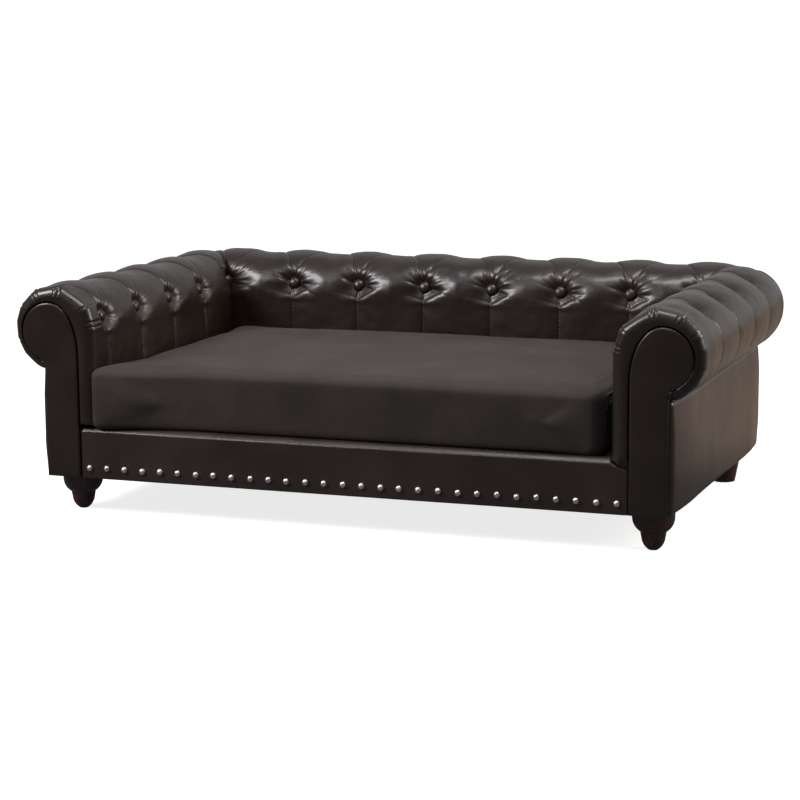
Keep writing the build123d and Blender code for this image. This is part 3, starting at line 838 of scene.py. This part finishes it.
def tuft_sink(along, pitch, station, shift, crisp=1.0):
    """How deep the cover is drawn in: along the row from a button, and up the section.
    Crisp scales the small folds round the buttons."""
    index = round(along / pitch)
    side = along - index * pitch
    rise = station - button_station
    half = pitch / 2
    reach = abs(side)
    distance = math.hypot(side, rise)
    sink = dimple_depth * math.exp(-(distance / dimple_radius) ** 2.2)
    sink += bowl_depth * hump(distance, 0, bowl_radius)
    if distance < fold_limit:
        sink += fold_sink(Vector((side, rise)), index + shift, crisp)
    if rise > 0:
        sink += pleat_sink(side, rise, half)
    valley = 0.5 - 0.5 * math.cos(2 * math.pi * reach / pitch)
    sink += valley_depth * valley ** valley_power * hump(rise, valley_rise, valley_reach)
    arch_height = right_arch_height if side > 0 else left_arch_height
    above = rise - seam_top - arch_height * math.sin(math.pi / 2 * reach / half)
    strength = crisp * (1.0 if side > 0 else left_arch_share) * smooth_share(1 - reach / half)
    hollow = arch_hollow * hump(above, arch_hollow_rise, arch_hollow_reach)
    sink += strength * (hollow + pinch(abs(above), *arch_crease))
    if rise < 0:
        low = smooth_share((seam_top - rise) / seam_lower_reach)
        high = smooth_share(-rise / seam_upper_reach)
        seam_share = seam_upper_share * high + (1 - seam_upper_share) * low
        sink += seam_share * pinch(reach, *seam_crease)
        sink += low * pinch(reach, *seam_slope)
    return sink


def wadding(point):
    broad_lump = 0.0009
    fine_lump = 0.0005
    return broad_lump * noise.noise(point * 22) + fine_lump * noise.noise(point * 60)


# Front rims of the arms: the cover turns over the edge in flat pleated facets and is stapled
# down behind the keyhole panel. Angles are in degrees round the roll.
rim_radius = 0.015
rim_tuck = 0.006
rim_pleats = (
    (176, 0.6), (170, 0.8), (147, 0.8), (101, 1.0), (94, 1.0), (63, 0.9), (57, 0.6), (30, 0.8), (-18, 0.4))
rim_corners = (178, 147, 98, 60, 30, 8, -14, -37, -60)
rim_pleat_crease = (0.0034, 0.0012)
rim_pleat_welt = 0.0005
rim_welt_side = 0.0042
rim_welt_width = 0.0030
facet_share = 0.75
rim_near_share = 0.35
rim_fold_share = 0.35
rim_puff = 0.0030
rim_set_back = 0.0012
rim_turn_lift = 0.0013
rim_fade_length = 0.040
foot_drop_share = 0.4
foot_drop_height = 0.03
foot_tuck_height = 0.010
foot_tuck_drop = 0.005
foot_tuck_depth = 0.007
edge_lap = 0.001
left_foot_stand_off = 0.004
left_foot_tuck = 0.020
left_foot_blend = 0.006
mitre_crease = (0.0030, 0.0030)
mitre_depth = 0.0030
mitre_blend = 0.020
mitre_lean = 0.707
panel_leg_top_z = 0.2345
smallest_reach = 1e-6


def keyhole_point(station, grow):
    """The panel's edge that faces a place on the roll's section, moved out by grow."""
    shoulder_station = shoulder.y - pad_bottom_z
    crest_station = straight_length + roll_radius * math.pi / 2
    if station < shoulder_station:
        return Vector((panel_inner_x - arm_inner_x - grow, pad_bottom_z + station))
    local_centre = head_centre - Vector((arm_inner_x, 0))
    if station < crest_station:
        share = (station - shoulder_station) / (crest_station - shoulder_station)
        point = shoulder_point(share) - Vector((arm_inner_x, 0))
        return point + (point - local_centre).normalized() * grow
    turned = (station - crest_station) / roll_radius
    limit = math.pi / 2 - last_angle
    angle = math.pi / 2 - min(turned, limit)
    point = local_centre + Vector((math.cos(angle), math.sin(angle))) * (head_radius + grow)
    if turned > limit:
        share = min(1.0, (turned - limit) * roll_radius / tuck_length)
        leg_edge = Vector((panel_inner_x + leg_width - arm_inner_x + grow, panel_leg_top_z))
        point = point.lerp(leg_edge, share)
    return point


def rim_sink(station, share):
    """Pleats and straight facets where the cover turns over the front edge of the roll."""
    angle = math.degrees(math.pi - (station - straight_length) / roll_radius)
    sink = 0.0
    for pleat, strength in rim_pleats:
        gap = abs(angle - pleat) * math.radians(1) * roll_radius
        welt = rim_pleat_welt * hump(gap, rim_welt_side, rim_welt_width)
        sink += strength * (pinch(gap, *rim_pleat_crease) - welt)
    for high, low in zip(rim_corners, rim_corners[1:]):
        if low <= angle <= high:
            along = (angle - low) / (high - low)
            width = math.radians(high - low) * roll_radius
            sink += 4 * along * (1 - along) * width * width / (8 * roll_radius) * facet_share
    return sink * share


def rim_place(travel, station, runs, point, out, band_edge, rim_start):
    """A place on the tucked edge, the flat band or the turned rim of an arm's front."""
    low_front = max(0.0, 1 - station / foot_drop_height) * foot_drop_share
    tuck = max(0.0, 1 - station / foot_tuck_height)
    if travel < runs[0]:
        drop = low_front * band_edge.x + foot_tuck_drop * tuck
        y = front_y + runs[0] - travel + edge_lap
        return Vector((arm_inner_x + band_edge.x, y, band_edge.y - drop))
    travel -= runs[0]
    if travel < runs[1]:
        share = travel / runs[1]
        flat = band_edge.lerp(rim_start, share) - out * rim_sink(station, rim_near_share * share)
        fold = rim_sink(station, 1.0) * rim_fold_share * smooth_share(share * 1.6)
        puff = rim_puff * math.sin(math.pi * (0.12 + 0.55 * share)) - rim_set_back
        drop = low_front * flat.x + foot_tuck_drop * tuck
        y = front_y - puff + rim_fold_share * fold + foot_tuck_depth * tuck
        return Vector((arm_inner_x + flat.x, y, flat.y - drop))
    angle = (travel - runs[1]) / rim_radius
    depth = rim_radius * (1 - math.sin(angle))
    turned_share = rim_near_share + (1 - rim_near_share) * math.sin(angle)
    flat = point - out * (depth + rim_sink(station, turned_share))
    y = front_y - rim_turn_lift * (1 - math.sin(angle)) + rim_radius * (1 - math.cos(angle))
    y += 0.12 * rim_sink(station, 1.0) * math.cos(angle)
    return Vector((arm_inner_x + flat.x, y, flat.y - low_front * flat.x * math.cos(angle)))


def arm_place(along_share, section_share):
    station = section_share * section_length
    point, out = section_point(station)
    outside = max(0.0, point.x - roll_radius)
    bend = outside * math.pi / 4
    straight_end = back_inner_y + min(point.x, roll_radius)
    band_edge = keyhole_point(station, panel_gap)
    rim_start = point - out * rim_radius
    runs = (rim_tuck, (rim_start - band_edge).length, rim_radius * math.pi / 2)
    run = straight_end - front_y - rim_radius
    travel = along_share * (sum(runs) + run + bend)
    if travel < sum(runs):
        return rim_place(travel, station, runs, point, out, band_edge, rim_start)
    travel -= sum(runs)
    y = front_y + rim_radius + travel
    along = y - (back_inner_y + button_face_side)
    near_front = 1 - smooth_share(travel / rim_fade_length)
    sink = tuft_sink(along, arm_pitch, station, 3, arm_crispness) * (1 - near_front)
    sink += rim_sink(station, near_front)
    to_mitre = max(0.0, straight_end - y) * mitre_lean
    if y <= straight_end:
        sink += pinch(to_mitre, *mitre_crease)
    else:
        turned = (y - straight_end) / max(bend, smallest_reach)
        sink += mitre_depth * (1 - smooth_share(turned) * 0.2)
    end = 1 - smooth_share(to_mitre / mitre_blend)
    flat = point - out * sink
    flat += out * wadding(Vector((arm_inner_x + flat.x, y, flat.y))) * (1 - end)
    if y <= straight_end:
        return Vector((arm_inner_x + flat.x, y + max(0.0, flat.x - point.x) * end, flat.y))
    angle = (y - straight_end) / outside if outside > smallest_reach else 0.0
    reach = flat.x - roll_radius
    return Vector((corner_x + reach * math.cos(angle), corner_y + reach * math.sin(angle), flat.y))


def tuck_behind_rail(shape):
    """Push the foot of an arm's front back behind the rail's top edge."""
    for vertex in shape.verts:
        below = 1 - smooth_share((vertex.co.z - rail_top_z + edge_lap) / left_foot_blend)
        vertex.co.y = max(vertex.co.y, front_y - left_foot_stand_off + left_foot_tuck * below)


for side in ("right", "left"):
    shape = grid_shape(390, 235, arm_place)
    if side == "left":
        mirror_shape(shape)
        tuck_behind_rail(shape)
    soft_cover(side + "_arm_cover", shape, side + "_arm_pad")


def back_roll_place(along_share, section_share):
    station = section_share * section_length
    point, out = section_point(station)
    outside = max(0.0, point.x - roll_radius)
    straight_end = arm_inner_x + min(point.x, roll_radius)
    bend = outside * math.pi / 4
    x = (along_share - 0.5) * 2 * (straight_end + bend)
    sink = tuft_sink(x + arm_inner_x + button_face_side, back_pitch, station, 20)
    to_mitre = max(0.0, straight_end - abs(x)) * mitre_lean
    if abs(x) <= straight_end:
        sink += pinch(to_mitre, *mitre_crease)
    else:
        sink += mitre_depth
    end = 1 - smooth_share(to_mitre / mitre_blend)
    flat = point - out * sink
    flat += out * wadding(Vector((x, back_inner_y + flat.x, flat.y))) * (1 - end)
    if abs(x) <= straight_end:
        widened = abs(x) + max(0.0, flat.x - point.x) * end
        return Vector((math.copysign(widened, x), back_inner_y + flat.x, flat.y))
    angle = (abs(x) - straight_end) / outside if outside > smallest_reach else 0.0
    reach = flat.x - roll_radius
    spun_x = corner_x + reach * math.sin(angle)
    return Vector((math.copysign(spun_x, x), corner_y + reach * math.cos(angle), flat.y))


soft_cover("back_cover", grid_shape(640, 235, back_roll_place), "back_pad")


# Stitching: waxed tan thread down the seam below each button, one short stitch after
# another lying on the cover beside the joint.
thread = grained(
    "waxed_thread", (0.10, 0.075, 0.058), (0.16, 0.12, 0.095),
    gloss=(0.5, 0.65), bump=(0.2, 0.0001), scale=2500.0)
stitch_length = 0.0042
stitch_pitch = 0.0074
stitch_radius = 0.0005
stitch_offset = 0.0018
first_stitch = 0.012
last_stitch_gap = 0.002


def arm_surface(y, station):
    point, out = section_point(station)
    along = y - back_inner_y - button_face_side
    flat = point - out * tuft_sink(along, arm_pitch, station, 3, arm_crispness)
    flat += out * wadding(Vector((arm_inner_x + flat.x, y, flat.y)))
    return Vector((arm_inner_x + flat.x, y, flat.y))


def back_surface(x, station):
    point, out = section_point(station)
    flat = point - out * tuft_sink(x + arm_inner_x + button_face_side, back_pitch, station, 20)
    flat += out * wadding(Vector((x, back_inner_y + flat.x, flat.y)))
    return Vector((x, back_inner_y + flat.x, flat.y))


def stitch_row(surface, along, sign_x):
    """Places of the stitches down one seam: on the given surface at a place along its row."""
    places = []
    station = first_stitch
    while station < button_station + seam_top - last_stitch_gap:
        low = surface(along + stitch_offset, station)
        high = surface(along + stitch_offset, station + stitch_length)
        for end in (low, high):
            end.x *= sign_x
        aim = (high - low).to_track_quat("Z", "Y").to_matrix().to_4x4()
        places.append(Matrix.Translation((low + high) / 2) @ aim)
        station += stitch_pitch
    return places


arm_ys = [back_inner_y + button_face_side - arm_pitch * (index + 1) for index in range(4)]
row_start = arm_inner_x + button_face_side
back_xs = [back_pitch * (index + 1) - row_start for index in range(6)]
stitch_places = []
for x in back_xs:
    stitch_places += stitch_row(back_surface, x, 1)
for y in arm_ys:
    stitch_places += stitch_row(arm_surface, y, 1) + stitch_row(arm_surface, y, -1)
stitch = bmesh.new()
bmesh.ops.create_uvsphere(stitch, u_segments=6, v_segments=4, radius=stitch_radius)
bmesh.ops.scale(stitch, vec=(1, 1, stitch_length / stitch_radius / 2), verts=stitch.verts)
stitches = bmesh.new()
add_copies(stitches, stitch, stitch_places)
seam_stitches = new_piece("seam_stitches", stitches, thread)
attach(seam_stitches, "sofa")


# Buttons: leather-covered metal buttons on shanks, drawn deep into the padding.
button_radius = 0.0105
button_seat = 0.056
button_rise = 0.0058
button_skirt = 0.003
button_grain = 0.00015
button_grain_scale = 300
button_z = roll_centre_z + button_seat * math.sin(button_angle)
button_side = roll_radius + button_seat * math.cos(button_angle)


def button_place(x, y, turn):
    lean = Matrix.Rotation(math.radians(90) - (math.pi - button_angle), 4, "Y")
    return Matrix.Translation((x, y, button_z)) @ Matrix.Rotation(turn, 4, "Z") @ lean


def button_piece(name, places, node):
    cluster = bmesh.new()
    add_copies(cluster, spun_dome(button_radius, button_rise, 8, 28, skirt=button_skirt), places)
    for vertex in cluster.verts:
        vertex.co.z += button_grain * noise.noise(vertex.co * button_grain_scale)
    piece = new_piece(name, cluster, leather)
    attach(piece, "sofa")
    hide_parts(node)


arm_button_x = arm_inner_x + button_side
right_places = [button_place(arm_button_x, y, math.pi) for y in arm_ys]
left_places = [button_place(-arm_button_x, y, 0.0) for y in arm_ys]
button_piece("right_arm_tufts", right_places, "right_arm_buttons")
button_piece("left_arm_tufts", left_places, "left_arm_buttons")
row_y = back_inner_y + button_side
back_places = [button_place(x, row_y, -math.pi / 2) for x in back_xs]
for sign in (1, -1):
    back_places.append(button_place(sign * arm_button_x, row_y, -math.pi / 2 - sign * math.pi / 4))
button_piece("back_tufts", back_places, "back_buttons")


# Seat cushion: a foam slab in a matt brown-grey suede cloth cover, crowned on top, its
# edges soft and its sides a little drawn in between the corners. The cover is inflated as
# cloth and then shaped; its front left corner lies squeezed over the edge of the arm.
cushion_cloth = grained(
    "cushion_suede", (0.032, 0.0248, 0.0236), (0.052, 0.0405, 0.0380),
    gloss=(0.65, 0.80), bump=(0.45, 0.0006), scale=1300.0, folds=0.8)
cloth_shader = cushion_cloth.node_tree.nodes["Principled BSDF"]
cloth_shader.inputs["Specular IOR Level"].default_value = 0.2
cloth_shader.inputs["Sheen Weight"].default_value = 0.05
cloth_shader.inputs["Sheen Roughness"].default_value = 0.45
cushion_low, cushion_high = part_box("cushion_cover")
cushion_margin = 0.003
cushion_cap = 0.006
cushion_corner_radius = 0.020
cushion_edge_radius = 0.009
cushion_crown_room = 0.009
cushion_crown = 0.004
crown_start_z = 0.20
crown_reach = 0.03
top_ripple = 0.0012
side_draw = 0.0025
side_draw_x = 0.38
end_draw = 0.0020
end_draw_reach = 0.03
front_overhang = 0.008
front_reach = 0.060
left_overhang = 0.012
left_overhang_x = 0.22
left_overhang_reach = 0.16
squeezed_corner = Vector((-0.026, -0.008, 0))
squeeze_x = 0.320
squeeze_x_reach = 0.070
squeeze_y = 0.265
squeeze_y_reach = 0.065
zip_z = 0.2213
zip_half_height = 0.0075
zip_front = -0.304
zip_back = 0.126
zip_face_x = 0.4036


def cushion_blank():
    shape = bmesh.new()
    bmesh.ops.create_cube(shape, size=1.0)
    room = Vector((2 * cushion_margin, 2 * cushion_margin, cushion_crown_room))
    size = cushion_high - cushion_low - room
    middle = (cushion_low + cushion_high) / 2
    bmesh.ops.scale(shape, vec=size, verts=shape.verts)
    bmesh.ops.translate(shape, vec=(0, middle.y, cushion_low.z + size.z / 2), verts=shape.verts)
    uprights = [e for e in shape.edges if abs(e.verts[0].co.z - e.verts[1].co.z) > 0.01]
    bmesh.ops.bevel(
        shape, geom=uprights, offset=cushion_corner_radius, segments=5, profile=0.5,
        affect="EDGES", offset_type="OFFSET", material=-1)
    rims = [e for e in shape.edges if abs(e.verts[0].co.z - e.verts[1].co.z) < 1e-6]
    bmesh.ops.bevel(
        shape, geom=rims, offset=cushion_edge_radius, segments=4, profile=0.5,
        affect="EDGES", offset_type="OFFSET", material=-1)
    return shape


def apply_modifiers(piece):
    graph = bpy.context.evaluated_depsgraph_get()
    graph.update()
    settled = bpy.data.meshes.new_from_object(piece.evaluated_get(graph))
    piece.modifiers.clear()
    old = piece.data
    piece.data = settled
    bpy.data.meshes.remove(old)


def inflate(piece):
    """Remesh the blank evenly and let cloth under pressure settle, with its travel capped."""
    remesh = piece.modifiers.new("even", "REMESH")
    remesh.mode = "VOXEL"
    remesh.voxel_size = 0.006
    apply_modifiers(piece)
    before = [vertex.co.copy() for vertex in piece.data.vertices]
    cloth = piece.modifiers.new("cloth", "CLOTH")
    cloth.settings.quality = 4
    cloth.settings.mass = 0.3
    cloth.settings.use_pressure = True
    cloth.settings.uniform_pressure_force = 4.0
    cloth.settings.tension_stiffness = 15
    cloth.settings.compression_stiffness = 15
    cloth.settings.bending_stiffness = 0.5
    cloth.settings.effector_weights.gravity = 0
    cloth.point_cache.frame_start = 1
    cloth.point_cache.frame_end = 20
    for step in range(1, 21):
        bpy.context.scene.frame_set(step)
    apply_modifiers(piece)
    bpy.context.scene.frame_set(1)
    for vertex, start in zip(piece.data.vertices, before):
        moved = vertex.co - start
        if moved.length > cushion_cap:
            vertex.co = start + moved.normalized() * cushion_cap


def shape_cushion(piece):
    """Flat underside, crowned top, drawn-in sides, a channel for the zip, and the front
    left corner squeezed out over the edge of the arm."""
    middle_y = (cushion_low.y + cushion_high.y) / 2
    half_x = cushion_high.x
    half_y = (cushion_high.y - cushion_low.y) / 2
    for vertex in piece.data.vertices:
        point = vertex.co
        across = 1 - (point.x / half_x) ** 2
        along = 1 - ((point.y - middle_y) / half_y) ** 2
        lift = smooth_share((point.z - crown_start_z) / crown_reach)
        point.z += cushion_crown * lift * max(0.0, across) ** 0.5 * max(0.0, along) ** 0.5
        point.z += lift * top_ripple * noise.noise(Vector((point.x * 7, point.y * 9, 2)))
        if abs(point.x) > side_draw_x:
            point.x -= math.copysign(side_draw * max(0.0, along), point.x)
        if abs(point.y - middle_y) > half_y - end_draw_reach:
            point.y -= math.copysign(end_draw * max(0.0, across), point.y - middle_y)
        to_front = smooth_share((middle_y - half_y + front_reach - point.y) / front_reach)
        to_left = smooth_share((-point.x - left_overhang_x) / left_overhang_reach)
        point.y -= front_overhang * to_front
        point.y -= left_overhang * to_front * to_left
        corner = smooth_share((-point.x - squeeze_x) / squeeze_x_reach)
        corner *= smooth_share((-point.y - squeeze_y) / squeeze_y_reach)
        point += corner * squeezed_corner
        point.z = max(point.z, cushion_low.z)
        beside_zip = point.x > side_draw_x and zip_front < point.y < zip_back
        if beside_zip and abs(point.z - zip_z) < zip_half_height:
            point.x = min(point.x, zip_face_x)


cushion = new_piece("seat_cushion", cushion_blank(), cushion_cloth)
inflate(cushion)
shape_cushion(cushion)
finer = cushion.modifiers.new("finer", "SUBSURF")
finer.levels = 1
finer.render_levels = 1
for face in cushion.data.polygons:
    face.use_smooth = True
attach(cushion, "cushion")
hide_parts("cushion_cover")


# Foam: the pale block inside the cover, a little smaller all round.
foam = grained(
    "pale_foam", (0.62, 0.58, 0.45), (0.74, 0.70, 0.58),
    gloss=(0.8, 0.95), bump=(0.5, 0.0008), scale=700.0)
foam_inset = 0.0035
filling = bmesh.new()
filling.from_mesh(cushion.data)
bmesh.ops.recalc_face_normals(filling, faces=filling.faces)
filling.normal_update()
for vertex in filling.verts:
    vertex.co -= vertex.normal * foam_inset
block = new_piece("cushion_filling", filling, foam)
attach(block, "cushion")
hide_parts("cushion_foam")


# Zip: a black woven tape in the cushion's side, with a black painted slider and pull.
black_metal = grained(
    "black_paint", (0.012, 0.012, 0.012), (0.022, 0.022, 0.022),
    gloss=(0.3, 0.42), bump=(0.1, 0.0002), scale=900.0)
carry_over(black_metal, "zip_slider", "zip_pull")
